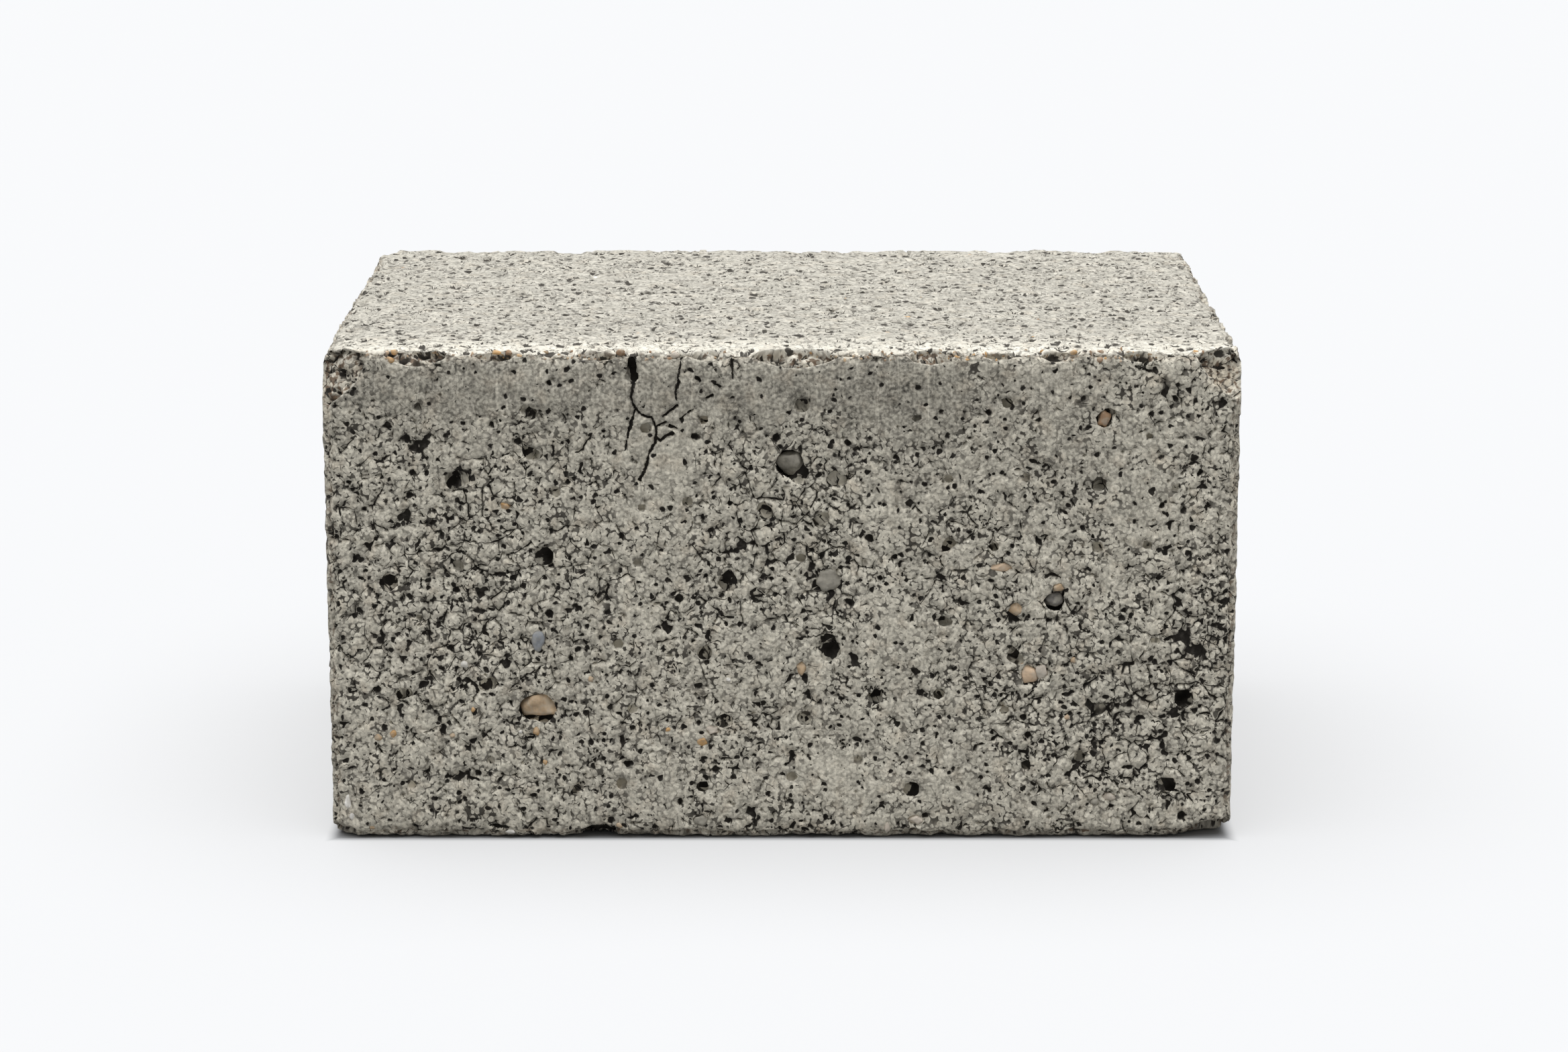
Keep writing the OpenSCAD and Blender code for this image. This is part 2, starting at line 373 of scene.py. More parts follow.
# How many flats a stone is worn to, and how far they lie from its middle, as shares of its half size
STONE_FLATS = 9
FLAT_REACH = (0.62, 0.85)
# The flats and the bed hide some of a stone, so those of the front face are made this much larger
STONE_GAIN = 1.2
# Stones this large or larger have a gap at one side: how far the gap's middle lies from the stone's, how
# far the gap reaches, and how fast it ends, all as shares of the stone's half size
# The gap is cut in and painted dark as its shade, like a crack
SOCKET_LEAST = 4.5
SOCKET_SHIFT = 0.4
SOCKET_REACH = 0.95
SOCKET_BLEND = 0.25
SOCKET_SEED = 5
# The front dips under each stone, so that the stone shows: how far, as a share of the stone's shorter
# side, and how far the dip reaches and how fast it ends, as shares of the stone's half size
BED_SHARE = 0.28
BED_REACH = 1.1
BED_BLEND = 0.3
# A stone longer than this has a finer mesh
FINE_STONE = 5
# Each stone's tone is multiplied by a random number between these
STONE_SHADES = (0.85, 1.15)
# How close a stone's lumps are, and how far from the origin their noise may start
LUMP_FREQUENCY = 1.6
LUMP_STARTS = 50
# Strewn stones: the power by which large ones are rarer, and how much a stone's three sizes differ
SIZE_RARITY = 3
SIZE_SPREAD = (0.7, 1)
# How deep a strewn stone's middle lies in the surface, and how far it keeps inside the moulded face, both as
# shares of its thickness
STONE_SUNK = 0.35
STONE_INSIDE = 0.6
# Mottle and film of paste on the stones, their roughness and specular level, and their bump
STONE_MOTTLE = (2.4, 0.45)
FILM_SIZE = 3.1
FILM_RAMP = (0.42, 0.64, 0.0, 0.4)
STONE_GLOSS = (0.8, 0.3)
STONE_BUMP_SIZE = 0.9
STONE_BUMP_HEIGHT = 0.3
STONE_BUMP = 0.5


class Graph:
    """Adds nodes to a tree. The same calls serve materials and Geometry Nodes."""

    def __init__(self, tree):
        self.tree = tree

    def node(self, kind, **settings):
        made = self.tree.nodes.new(kind)
        for name, value in settings.items():
            setattr(made, name, value)
        return made

    def feed(self, socket, value):
        if isinstance(value, bpy.types.NodeSocket):
            self.tree.links.new(value, socket)
        else:
            socket.default_value = value

    def math(self, operation, *values, clamp=False):
        made = self.node("ShaderNodeMath", operation=operation, use_clamp=clamp)
        for socket, value in zip(made.inputs, values):
            self.feed(socket, value)
        return made.outputs[0]

    def vector(self, operation, *values):
        made = self.node("ShaderNodeVectorMath", operation=operation)
        for socket, value in zip(made.inputs, values):
            self.feed(socket, value)
        scalar = operation in ("DISTANCE", "DOT_PRODUCT")
        return made.outputs["Value" if scalar else "Vector"]

    def scale(self, vector, factor):
        made = self.node("ShaderNodeVectorMath", operation="SCALE")
        self.feed(made.inputs[0], vector)
        self.feed(made.inputs["Scale"], factor)
        return made.outputs[0]

    def ramp(self, value, start, end, low=0.0, high=1.0):
        """Runs smoothly from low, at start, to high, at end."""
        made = self.node("ShaderNodeMapRange", interpolation_type="SMOOTHSTEP")
        for socket, v in zip(made.inputs, (value, start, end, low, high)):
            self.feed(socket, v)
        return made.outputs[0]

    def noise(self, place, size, detail=2.0, output=0):
        made = self.node("ShaderNodeTexNoise")
        self.feed(made.inputs["Vector"], place)
        made.inputs["Scale"].default_value = 1 / size
        made.inputs["Detail"].default_value = detail
        return made.outputs[output]

    def swing(self, place, size, reach, detail=2.0):
        """Noise about zero."""
        return self.math("MULTIPLY_ADD", self.noise(place, size, detail), 2 * reach, -reach)

    def cells(self, place, size, feature="F1"):
        """Distance from the nearest cell's middle, or from the next one's by F2, and its random number."""
        made = self.node("ShaderNodeTexVoronoi", feature=feature)
        self.feed(made.inputs["Vector"], place)
        made.inputs["Scale"].default_value = 1 / size
        distance = self.math("MULTIPLY", made.outputs["Distance"], size)
        chance = self.math("FRACT", self.vector("DOT_PRODUCT", made.outputs["Position"], CELL_HASH))
        return distance, chance

    def blend(self, share, first, second):
        """Runs from the first colour to the second."""
        made = self.node("ShaderNodeMix", data_type="RGBA")
        for socket, value in zip((made.inputs[0], made.inputs[6], made.inputs[7]), (share, first, second)):
            self.feed(socket, value if not isinstance(value, tuple) else (*value, 1))
        return made.outputs[2]

    def attribute(self, name, vector=False):
        if self.tree.bl_idname == "GeometryNodeTree":
            kind = "FLOAT_VECTOR" if vector else "FLOAT"
            made = self.node("GeometryNodeInputNamedAttribute", data_type=kind)
            made.inputs["Name"].default_value = name
            return made.outputs["Attribute"]
        made = self.node("ShaderNodeAttribute", attribute_name=name)
        return made.outputs["Vector" if vector else "Fac"]


def crack_distance(g, place):
    """Distance from the nearest crack's side, which is below zero inside the crack."""
    flat = g.vector("MULTIPLY", g.vector("SUBTRACT", place, (0, FRONT_Y, 0)), (1, CRACK_FADE, 1))
    nearest = FAR
    for line in CRACKS:
        for (x1, z1, width1), (x2, z2, width2) in zip(line, line[1:]):
            start = Vector((x1, 0, z1))
            run = Vector((x2, 0, z2)) - start
            from_start = g.vector("SUBTRACT", flat, tuple(start))
            along = g.vector("DOT_PRODUCT", from_start, tuple(run / run.length_squared))
            along = g.math("ADD", along, 0, clamp=True)
            away = g.vector("DISTANCE", from_start, g.scale(tuple(run), along))
            width = g.math("MULTIPLY_ADD", along, width2 - width1, width1)
            nearest = g.math("MINIMUM", nearest, g.math("SUBTRACT", away, width))
    return nearest


def relief(g):
    """Depth below the moulded faces, and the masks that the colour needs too, among them that of the
    hollows, which the colour paints dark as their shade.
    """
    place = g.attribute("rest", vector=True)
    openness = g.attribute("openness")
    worn = g.attribute("worn")
    arris = g.attribute("arris")
    void = g.attribute("void")

    bend = g.noise(place, BEND_SIZE, detail=1, output=1)
    bent = g.vector("MULTIPLY_ADD", bend, (BEND_REACH,) * 3, place)
    patch = g.math("ADD", openness, g.swing(place, *PATCH_NOISE))
    crumble_line = g.math("ADD", arris, g.swing(place, *CRUMBLE_NOISE))
    crumbled = g.math("MAXIMUM", g.ramp(crumble_line, *CRUMBLE_RAMP), g.ramp(worn, *WORN_RAMP))
    patch = g.math("MAXIMUM", patch, g.math("MULTIPLY", crumbled, CRUMBLED_OPENNESS))

    crack_line = g.math("ADD", crack_distance(g, place), g.swing(place, *CRACK_NOISE))
    hollow = g.ramp(crack_line, *CRACK_RAMP)
    socket = g.math("ADD", g.attribute("socket"), g.swing(place, *SOCKET_NOISE))
    hollow = g.math("MAXIMUM", hollow, g.ramp(socket, *SOCKET_RAMP))
    depth = g.math("MAXIMUM", g.math("MULTIPLY", hollow, CRACK_DEPTH), g.attribute("bed"))
    # The dark inside voids is painted shade
    in_void = g.ramp(g.math("ADD", void, g.swing(place, *VOID_NOISE)), *VOID_RAMP)
    hollow = g.math("MAXIMUM", hollow, in_void)

    loose = g.math("MULTIPLY_ADD", patch, *LOOSENESS)
    bulge = 0.0
    chances = []
    for (size, need, half_width, need_loose, full_depth), rise in zip(GRAINS, BULGES):
        first, chance = g.cells(bent, size)
        chances.append(chance)
        bulge = g.math("MULTIPLY_ADD", first, rise, bulge)
        apart = g.math("ADD", loose, g.swing(place, size * LOOSE_PITCH, LOOSE_REACH, detail=1))
        crevice = g.ramp(g.math("MULTIPLY_ADD", first, 1 / size, apart), need, need + GAP_BLEND)
        if half_width:
            second, _ = g.cells(bent, size, "F2")
            width = g.ramp(apart, need_loose, need_loose + CREVICE_BLEND, 0, half_width)
            line = g.ramp(g.math("SUBTRACT", second, first), width, 0.0)
            crevice = g.math("MAXIMUM", crevice, line)
        hollow = g.math("MAXIMUM", hollow, crevice)
        depth = g.math("MAXIMUM", depth, g.math("MULTIPLY", crevice, full_depth))

    pitted = g.attribute("pitted")
    more_pores = g.math("MULTIPLY_ADD", patch, OPEN_PORES, pitted)
    ragged_edge = g.swing(place, *PORE_NOISE)
    least_draw, full_draw = PORE_DRAWS
    for size, radius, full_depth, share in PORES:
        distance, chance = g.cells(bent, size)
        chance = g.math("ADD", chance, more_pores)
        largest = g.math("MULTIPLY_ADD", pitted, radius * PITTED_GROWTH, radius)
        hole = g.ramp(chance, least_draw - share, full_draw, 0, largest)
        distance = g.math("ADD", distance, ragged_edge)
        pore = g.ramp(distance, hole, g.math("MULTIPLY", hole, PORE_FLOOR))
        hollow = g.math("MAXIMUM", hollow, pore)
        depth = g.math("MAXIMUM", depth, g.math("MULTIPLY", pore, full_depth))

    chips = g.ramp(g.noise(place, CHIP_SIZE, detail=3), *CHIP_RAMP)
    crumbs, _ = g.cells(bent, BROKEN_SIZE)
    broken_depth = g.math("MULTIPLY", g.math("MULTIPLY_ADD", crumbs, BROKEN_HEIGHT, chips), crumbled)
    ragged = g.math("MULTIPLY", crumbs, g.ramp(void, *VOID_WALL_RAMP))
    broken_depth = g.math("MAXIMUM", broken_depth, ragged)
    waves = g.noise(place, WAVE_SIZE)
    dimples = g.math("MULTIPLY", g.noise(place, DIMPLE_SIZE), g.math("MULTIPLY", patch, DIMPLE_HEIGHT))
    uneven = g.math("MULTIPLY_ADD", waves, WAVE_HEIGHT, dimples)
    rim = g.math("MULTIPLY", g.attribute("rim"), g.ramp(g.noise(place, RIM_SIZE), *RIM_RAMP))
    uneven = g.math("ADD", uneven, rim)
    packed = g.math("MULTIPLY", g.ramp(patch, *PACKED_RAMP), g.attribute("grit"))
    rough = g.math("ADD", broken_depth, g.math("MULTIPLY_ADD", bulge, packed, uneven))
    rough = g.math("MAXIMUM", g.math("SUBTRACT", rough, HIGH_POINTS), 0)
    return {
        "place": place, "bent": bent, "patch": patch, "crumbled": crumbled, "hollow": hollow,
        "depth": depth, "rough": rough, "bulge": bulge, "packed": packed,
        "grain": chances[1], "small_grain": first,
    }


def spot_sum(spots, x, z):
    """What the spots add up to at each place of the front face."""
    total = np.zeros(len(x))
    for middle_x, middle_z, reach_x, reach_z, amount in spots:
        away = ((x - middle_x) / reach_x) ** 2 + ((z - middle_z) / reach_z) ** 2
        total += amount * np.exp(-away)
    return total


def socket_gaps(x, z):
    """How far each place is in the gap beside a large stone, from 0 to 1."""
    draw = random.Random(SOCKET_SEED)
    gaps = np.zeros(len(x))
    for middle_x, middle_z, width, height, _, _ in FRONT_STONES:
        if width * height < SOCKET_LEAST ** 2:
            continue
        turn = draw.uniform(0, 2 * math.pi)
        across = (x - middle_x) / (width / 2) - SOCKET_SHIFT * math.cos(turn)
        up = (z - middle_z) / (height / 2) - SOCKET_SHIFT * math.sin(turn)
        gaps = np.maximum(gaps, np.clip((SOCKET_REACH - np.hypot(across, up)) / SOCKET_BLEND, 0, 1))
    return gaps


def stone_beds(x, z):
    """How far each place dips under a stone, in millimetres."""
    dips = np.zeros(len(x))
    for middle_x, middle_z, width, height, _, _ in FRONT_STONES:
        away = np.hypot((x - middle_x) / (width / 2), (z - middle_z) / (height / 2))
        dip = np.clip((BED_REACH - away) / BED_BLEND, 0, 1)
        dips = np.maximum(dips, dip * BED_SHARE * min(width, height))
    return dips


def set_attribute(mesh, name, values):
    vector = values.ndim == 2
    made = mesh.attributes.new(name, "FLOAT_VECTOR" if vector else "FLOAT", "POINT")
    made.data.foreach_set("vector" if vector else "value", values.astype(np.float32).ravel())


def read_places(mesh):
    place = np.empty(len(mesh.vertices) * 3)
    mesh.vertices.foreach_get("co", place)
    return place.reshape(-1, 3) / MM


def set_places(mesh, place):
    mesh.vertices.foreach_set("co", (place * MM).astype(np.float32).ravel())
    mesh.update()


def read_normals(mesh):
    normals = np.empty(len(mesh.vertices) * 3)
    mesh.vertex_normals.foreach_get("vector", normals)
    return normals.reshape(-1, 3)


def mark_surface(mesh):
    """Stores, at each vertex, where it is on the block and how the surface is there."""
    place = read_places(mesh)
    inside = BLOCK_HALF - np.abs(place - BLOCK_MIDDLE)
    below, arris = np.sort(inside, axis=1)[:, :2].T
    axis = np.argmin(inside, axis=1)
    high = place > BLOCK_MIDDLE
    marks = {name: np.zeros(len(place)) for name in (*FACE_MARKS, "socket", "bed")}
    for face, (number, side) in FACE_SIDES.items():
        here = (axis == number) & (high[:, number] == side)
        for name, value in zip(FACE_MARKS, FACES[face]):
            marks[name][here] = value
        x, y, z = place[here].T
        if face == "front":
            marks["openness"][here] += spot_sum(FRONT_SPOTS, x, z)
            marks["tone"][here] += spot_sum(FRONT_TONES, x, z)
            marks["socket"][here] = socket_gaps(x, z)
            marks["bed"][here] = stone_beds(x, z)
        if face == "top":
            # Painted light along the front of the top face
            reach, amount = PAINTED_LIGHT_STRIP
            marks["tone"][here] += amount * np.exp(-((y - FRONT_Y) / reach) ** 2)

    in_void = np.clip((arris - VOID_FROM_ARRIS) / VOID_BLEND, 0, 1)
    gain = np.where((axis == 1) & ~high[:, 1], FRONT_VOID_GAIN, 1)
    lit = np.where(axis == 2, 0, np.clip(read_normals(mesh)[:, 2], 0, 1))
    drop = BLOCK_HIGH[2] - place[:, 2]
    near_arris = np.clip((RIM_REACH - arris) / RIM_REACH, 0, 1)
    marks["rest"] = place
    marks["worn"] = below * (1 - in_void)
    # How dark the painted shade inside a void is, and how broken its walls are
    marks["void"] = below * in_void * gain * (1 - VOID_LIT * lit)
    marks["arris"] = arris
    marks["rim"] = near_arris * np.clip(1 - drop / RIM_DROP, RIM_BELOW, 1)
    for name, values in marks.items():
        set_attribute(mesh, name, values)


def relief_nodes():
    """Geometry Nodes that move the surface inwards by the relief's depth."""
    tree = bpy.data.node_groups.new("cast_relief", "GeometryNodeTree")
    tree.interface.new_socket("Geometry", in_out="INPUT", socket_type="NodeSocketGeometry")
    tree.interface.new_socket("Geometry", in_out="OUTPUT", socket_type="NodeSocketGeometry")
    g = Graph(tree)
    surface = relief(g)
    depth = g.math("ADD", surface["depth"], surface["rough"])
    normal = g.node("GeometryNodeInputNormal").outputs[0]
    offset = g.scale(normal, g.math("MULTIPLY", depth, -MM))
    move = g.node("GeometryNodeSetPosition")
    g.feed(move.inputs["Geometry"], g.node("NodeGroupInput").outputs[0])
    g.feed(move.inputs["Offset"], offset)
    g.feed(g.node("NodeGroupOutput").inputs[0], move.outputs[0])
    return tree


def apply_modifiers(piece):
    evaluated = piece.evaluated_get(bpy.context.evaluated_depsgraph_get())
    mesh = bpy.data.meshes.new_from_object(evaluated)
    piece.modifiers.clear()
    piece.data = mesh
    return mesh


def mark_shown(piece):
    """A vertex group of the front face, its arrises and those round the top."""
    place = read_places(piece.data)
    inside = BLOCK_HALF - np.abs(place - BLOCK_MIDDLE)
    rim = (BLOCK_HIGH[2] - place[:, 2] < SHOWN_RIM) & (inside[:, :2].min(axis=1) < SHOWN_RIM)
    front = place[:, 1] < FRONT_Y + SHOWN_DEPTH
    group = piece.vertex_groups.new(name="shown")
    group.add(np.flatnonzero(front | rim).tolist(), 1, "REPLACE")
    return group


def thin_out(piece, triangles, spared=None):
    """Takes triangles out where they tell least, and none from a vertex group that is spared."""
    piece.data.calc_loop_triangles()
    count = len(piece.data.loop_triangles)
    if count <= triangles:
        return piece.data
    thin = piece.modifiers.new("thin_out", "DECIMATE")
    thin.ratio = triangles / count
    if spared:
        thin.vertex_group = spared.name
        thin.invert_vertex_group = True
    return apply_modifiers(piece)


def drop_flaps(mesh):
    """Deletes the loose or doubled faces that thinning out can leave standing on an edge."""
    bm = bmesh.new()
    bm.from_mesh(mesh)
    bmesh.ops.triangulate(bm, faces=bm.faces)
    flaps = {edge.link_faces[0] for edge in bm.edges if edge.is_boundary}
    same = {}
    for face in bm.faces:
        same.setdefault(frozenset(face.verts), []).append(face)
    for faces in same.values():
        if len(faces) > 1:
            flaps.update(faces)
    bmesh.ops.delete(bm, geom=list(flaps), context="FACES")
    bm.to_mesh(mesh)
    bm.free()


def add_object(name, data):
    made = bpy.data.objects.new(name, data)
    bpy.context.scene.collection.objects.link(made)
    return made


def make_block():
    """The cast block: the CAD solid's own shape, with the relief of its surface worked in."""
    piece = add_object("cast_block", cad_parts["concrete_block"].data.copy())
    remesh = piece.modifiers.new("even_mesh", "REMESH")
    remesh.mode = "VOXEL"
    remesh.voxel_size = VOXEL_MM * MM
    mark_surface(apply_modifiers(piece))
    piece.modifiers.new("relief", "NODES").node_group = relief_nodes()
    apply_modifiers(piece)
    thin_out(piece, FIRST_TRIANGLES, mark_shown(piece))
    mesh = thin_out(piece, TRIANGLES)
    drop_flaps(mesh)
    set_places(mesh, np.clip(read_places(mesh), BLOCK_LOW, BLOCK_HIGH))
    piece.vertex_groups.clear()
    mesh.materials.clear()
    mesh.materials.append(concrete_material())
    mesh.shade_smooth()
    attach(piece, "root")
    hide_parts("concrete_block")
    return piece


def new_material(name, roughness, specular):
    """A material, its graph and its shader."""
    material = bpy.data.materials.new(name)
    material.use_nodes = True
    shader = material.node_tree.nodes["Principled BSDF"]
    shader.inputs["Roughness"].default_value = roughness
    shader.inputs["Specular IOR Level"].default_value = specular
    return material, Graph(material.node_tree), shader


def add_bump(g, shader, height, strength):
    """Fine bump, with its height in millimetres."""
    bump = g.node("ShaderNodeBump")
    bump.inputs["Strength"].default_value = strength
    bump.inputs["Distance"].default_value = MM
    g.feed(bump.inputs["Height"], height)
    g.feed(shader.inputs["Normal"], bump.outputs[0])


def concrete_material():
    material, g, shader = new_material("open_concrete", *CONCRETE_GLOSS)
    surface = relief(g)
    place, bent = surface["place"], surface["bent"]
    tone = g.attribute("tone")
    grit = g.attribute("grit")

    mottle = g.swing(place, *MOTTLE_NOISE)
    broad = g.swing(place, *BROAD_NOISE)
    sand = g.ramp(g.noise(place, SAND_NOISE_SIZE), *SAND_RAMP)
    sand_away, sand_grain = g.cells(bent, SAND_SIZE)
    sand_tone = g.math("MULTIPLY_ADD", sand_grain, *SAND_TONE)
    grain_tone = g.math("MULTIPLY_ADD", surface["grain"], GRAIN_TONE, sand_tone)
    light = g.math("MULTIPLY_ADD", g.math("ADD", sand, grain_tone), grit, tone)
    light = g.math("ADD", light, g.math("ADD", mottle, broad))
    # Crumbled places are lighter, partly their own tone and partly painted light
    light = g.math("MULTIPLY_ADD", surface["crumbled"], CRUMBLED_TONE_AND_LIGHT, light)
    # Painted shading: lighter middles and darker edges of the grains
    dome_shade = g.ramp(surface["bulge"], *DOME_SHADE_RAMP)
    light = g.math("MULTIPLY_ADD", dome_shade, surface["packed"], light)
    streak = g.ramp(g.noise(g.vector("MULTIPLY", place, STREAK_STRETCH), STREAK_SIZE), *STREAK_RAMP)
    smooth = g.ramp(surface["patch"], *SMOOTH_RAMP)
    light = g.math("MULTIPLY_ADD", g.math("MULTIPLY", streak, smooth), STREAK_TONE, light)

    warmth = g.ramp(g.noise(place, WARMTH_SIZE, detail=3), *WARMTH_RAMP)
    warmth = g.math("MULTIPLY_ADD", surface["crumbled"], CRUMBLED_WARMTH, warmth, clamp=True)
    paste = g.blend(g.math("MULTIPLY", warmth, grit), g.blend(grit, DUST, PASTE), WARM_PASTE)
    crumbs = g.math("MULTIPLY", g.ramp(g.noise(place, BROWN_SIZE), *BROWN_RAMP), surface["crumbled"])
    lit = g.blend(crumbs, g.scale(paste, light), BROWN_CRUMB)
    # Painted shade in the gaps between sand grains
    gaps = g.ramp(sand_away, *(SAND_SIZE * share for share in SAND_GAPS))
    gaps = g.math("MULTIPLY", gaps, g.ramp(g.noise(place, GAP_PATCH_SIZE), *GAP_PATCH_RAMP))
    gaps = g.math("MULTIPLY", gaps, g.math("MULTIPLY", grit, g.ramp(smooth, *SMOOTH_GAPS_RAMP)))
    lit = g.blend(gaps, lit, SAND_GAP_SHADE)

    # Painted shade: hollows are painted dark at their rims and near black at their middles
    rim_shaded = g.blend(g.ramp(surface["hollow"], *RIM_SHADE_RAMP), lit, RIM_SHADE)
    lift_noise = g.ramp(g.noise(place, SHADE_LIFT_SIZE), *SHADE_LIFT_RAMP)
    shade_lift = g.math("MULTIPLY_ADD", grit, SHADE_LIFT_BY_GRIT, lift_noise, clamp=True)
    middle_shade = g.blend(shade_lift, HOLLOW_SHADE, RIM_SHADE)
    colour = g.blend(g.ramp(surface["hollow"], *HOLLOW_SHADE_RAMP), rim_shaded, middle_shade)
    g.feed(shader.inputs["Base Color"], colour)

    fine, _ = g.cells(bent, FINE_SIZE)
    grains = g.math("MULTIPLY", surface["small_grain"], SMALL_GRAIN_HEIGHT)
    add_bump(g, shader, g.math("MULTIPLY_ADD", fine, FINE_HEIGHT, grains), CONCRETE_BUMP)
    return material


def random_direction(draw):
    return Vector([draw.gauss(0, 1) for _ in range(3)]).normalized()


def add_stone(bm, layer, middle, size, colour, draw):
    """An uneven stone with worn flats, in millimetres."""
    made = bmesh.ops.create_icosphere(bm, subdivisions=3 if max(size) > FINE_STONE else 2, radius=1)
    start = Vector([draw.uniform(-LUMP_STARTS, LUMP_STARTS) for _ in range(3)])
    flats = [(random_direction(draw), draw.uniform(*FLAT_REACH)) for _ in range(STONE_FLATS)]
    shade = draw.uniform(*STONE_SHADES)
    for vertex in made["verts"]:
        for outward, reach in flats:
            vertex.co -= outward * max(0, vertex.co.dot(outward) - reach)
        vertex.co *= 1 + STONE_LUMPS * noise.noise(vertex.co * LUMP_FREQUENCY + start)
        vertex.co = middle + vertex.co * size / 2
        vertex[layer] = (*(value * shade for value in STONE_COLOURS[colour]), 1)
    return made["verts"]


def random_size(sizes, draw):
    small, large = sizes
    return small + (large - small) * draw.random() ** SIZE_RARITY * draw.uniform(*SIZE_SPREAD)


def bed_stone(bm, layer, surface, place, outward, sizes, colours, draw):
    """Beds a random stone where the line through a place meets the block, inside the moulded faces."""
    axis = max(range(3), key=lambda i: abs(outward[i]))
    size = Vector([random_size(sizes, draw) for _ in range(3)])
    size[axis] = STONE_THICKNESS * min(size)
    colour, = draw.choices(tuple(colours), colours.values())
    hit = surface.ray_cast((place + outward * 2 * BLOCK_HALF[axis]) * MM, -outward)[0]
    middle = hit / MM - outward * size[axis] * STONE_SUNK
    room = BLOCK_HALF[axis] - abs(middle[axis] - BLOCK_MIDDLE[axis]) - size[axis] * STONE_INSIDE
    add_stone(bm, layer, middle + outward * min(room, 0), size, colour, draw)


def make_stones(block):
    """The stones that show: the front's, those strewn over the other faces, and crumbs along an arris."""
    draw = random.Random(STONE_SEED)
    bm = bmesh.new()
    layer = bm.verts.layers.float_color.new("stone")
    for x, z, width, height, below, colour in FRONT_STONES:
        thick = STONE_THICKNESS * min(width, height)
        size = Vector((width, thick, height)) * STONE_GAIN
        vertices = add_stone(bm, layer, Vector((x, FRONT_Y, z)), size, colour, draw)
        outermost = min(vertex.co.y for vertex in vertices)
        for vertex in vertices:
            vertex.co.y += FRONT_Y + below - outermost
    surface = BVHTree.FromObject(block, bpy.context.evaluated_depsgraph_get())
    for face, count in STREWN.items():
        axis, high = FACE_SIDES[face]
        outward = Vector((0, 0, 0))
        outward[axis] = 1 if high else -1
        for _ in range(count):
            shares = [draw.uniform(-1, 1) for _ in range(3)]
            start = Vector(BLOCK_MIDDLE + BLOCK_HALF * STREWN_SHARE * shares)
            bed_stone(bm, layer, surface, start, outward, STREWN_SIZE, STREWN_COLOURS, draw)
    for _ in range(CRUMBS):
        across = draw.uniform(-1, 1) * STREWN_SHARE * BLOCK_HALF[0]
        start = Vector((across, FRONT_Y, BLOCK_HIGH[2] - draw.uniform(*CRUMB_DROP)))
        bed_stone(bm, layer, surface, start, Vector((0, -1, 0)), CRUMB_SIZE, CRUMB_COLOURS, draw)
    mesh = bpy.data.meshes.new("stones")
    bm.to_mesh(mesh)
    bm.free()
    mesh.shade_smooth()
    # The stones were made in millimetres, and are set in metres
    places = np.clip(read_places(mesh) * MM, BLOCK_LOW, BLOCK_HIGH)
    set_attribute(mesh, "rest", places)
    set_places(mesh, places)
    mesh.materials.append(stone_material())
    piece = add_object("stones", mesh)
    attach(piece, "root")


def stone_material():
    material, g, shader = new_material("bedded_stone", *STONE_GLOSS)
    place = g.attribute("rest", vector=True)
    own = g.node("ShaderNodeAttribute", attribute_name="stone").outputs["Color"]
    mottled = g.scale(own, g.math("ADD", g.swing(place, *STONE_MOTTLE), 1))
    film = g.ramp(g.noise(place, FILM_SIZE), *FILM_RAMP)
    g.feed(shader.inputs["Base Color"], g.blend(film, mottled, PASTE))
    height = g.math("MULTIPLY", g.noise(place, STONE_BUMP_SIZE), STONE_BUMP_HEIGHT)
    add_bump(g, shader, height, STONE_BUMP)
    return material


def make_camera():
    data = bpy.data.cameras.new("camera")
    data.sensor_width = SENSOR_MM
    data.lens = FOCAL_PX / IMAGE_W * SENSOR_MM
    data.clip_start, data.clip_end = CAMERA_CLIP
    camera = add_object("camera", data)
    camera.location = CAMERA_PLACE
    camera.rotation_euler = (math.radians(90 - CAMERA_PITCH_DEG), 0, 0)
    bpy.context.scene.camera = camera


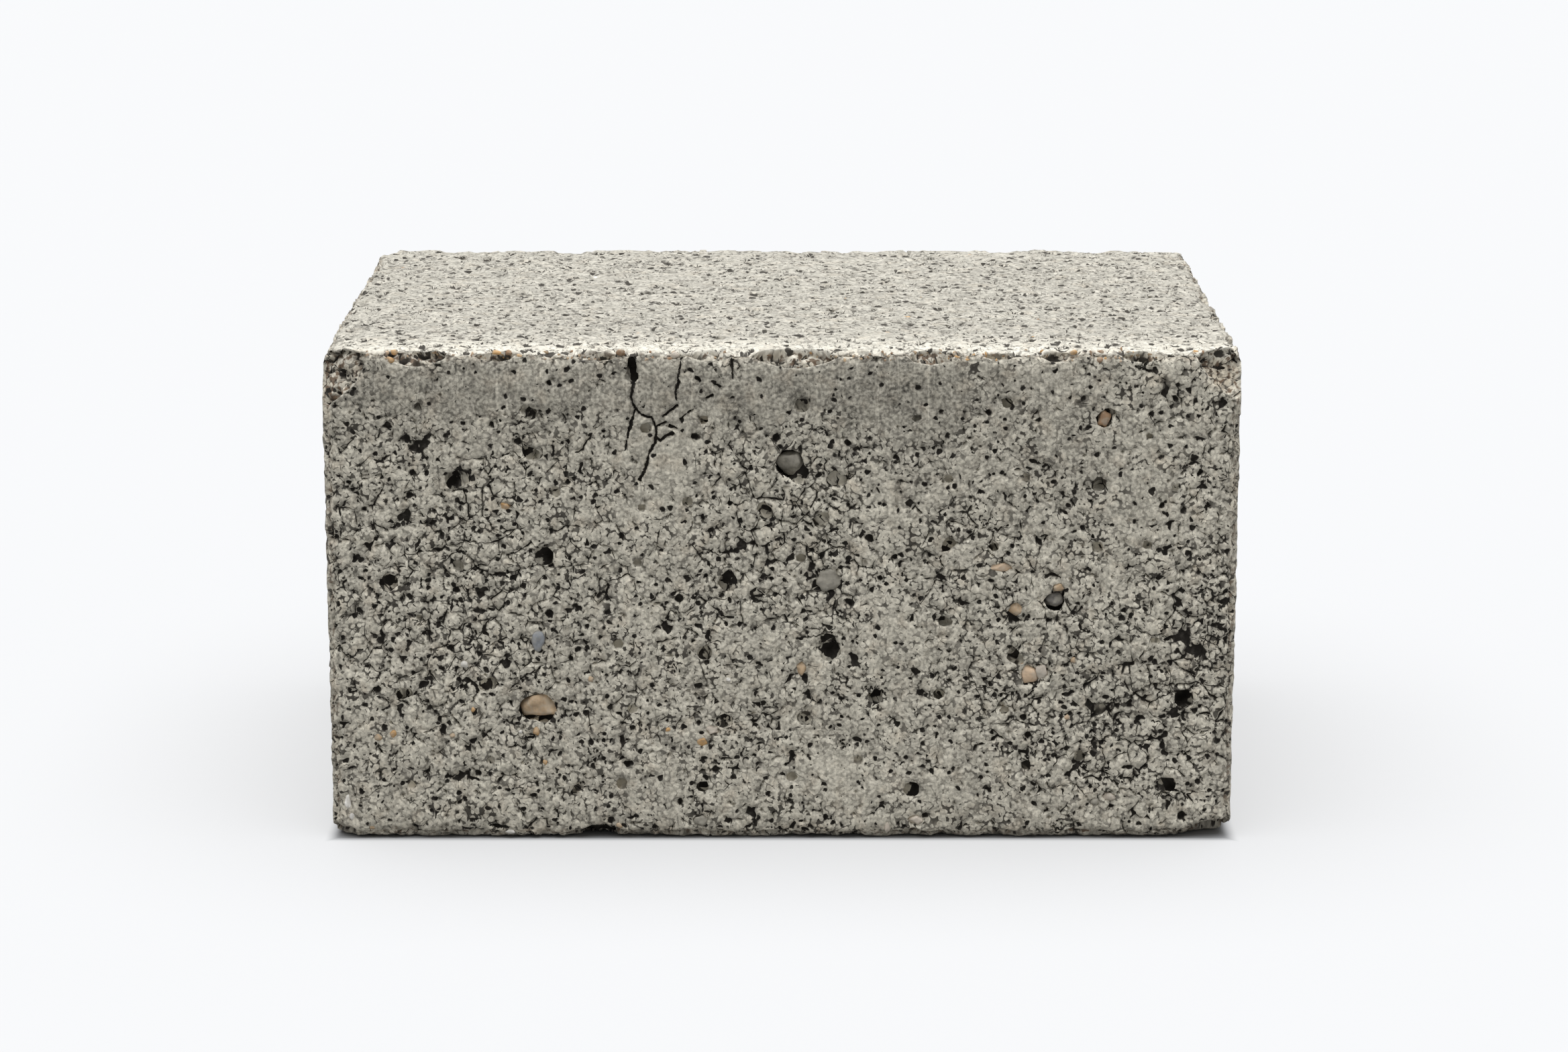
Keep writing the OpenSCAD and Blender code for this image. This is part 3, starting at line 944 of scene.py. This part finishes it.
def make_light():
    sun = bpy.data.lights.new("soft_sun", "SUN")
    sun.energy = SUN_STRENGTH
    sun.color = SUN_COLOUR
    sun.angle = math.radians(SUN_ANGLE_DEG)
    lamp = add_object("soft_sun", sun)
    lamp.rotation_euler = [math.radians(tilt) for tilt in SUN_TILT_DEG]
    world = bpy.data.worlds.new("sky")
    bpy.context.scene.world = world
    world.use_nodes = True
    background = world.node_tree.nodes["Background"]
    background.inputs["Color"].default_value = (1, 1, 1, 1)
    background.inputs["Strength"].default_value = SKY_STRENGTH


def make_floor():
    """A pale floor, which glows a little to whatever sees it, apart from right at the block's foot, where
    the glow is left out as a painted contact shadow.
    """
    mesh = bpy.data.meshes.new("floor")
    edge = FLOOR_SIZE / 2
    corners = [(-edge, -edge, 0), (edge, -edge, 0), (edge, edge, 0), (-edge, edge, 0)]
    mesh.from_pydata(corners, [], [(0, 1, 2, 3)])
    floor = add_object("floor", mesh)
    material, g, shader = new_material("pale_floor", roughness=1, specular=0)
    shader.inputs["Base Color"].default_value = (*FLOOR_COLOUR, 1)
    shader.inputs["Emission Color"].default_value = (1, 1, 1, 1)
    paths = g.node("ShaderNodeLightPath")
    seen = paths.outputs["Is Camera Ray"]
    for name in ("Is Glossy Ray", "Is Transmission Ray"):
        seen = g.math("MAXIMUM", seen, paths.outputs[name])
    place = g.node("ShaderNodeNewGeometry").outputs["Position"]
    beyond = g.vector("SUBTRACT", g.vector("ABSOLUTE", place), tuple(BLOCK_HALF * MM))
    apart = g.node("ShaderNodeSeparateXYZ")
    g.feed(apart.inputs[0], beyond)
    beyond = g.math("MAXIMUM", apart.outputs[0], apart.outputs[1])
    # Painted contact shadow: the glow is left out near the block's foot
    glow = g.ramp(beyond, *(limit * MM for limit in CONTACT_SHADOW_EDGE), 0, FLOOR_GLOW)
    g.feed(shader.inputs["Emission Strength"], g.math("MULTIPLY", seen, glow))
    mesh.materials.append(material)


bpy.context.scene.view_settings.view_transform = "Standard"
make_camera()
make_light()
make_floor()
make_stones(make_block())
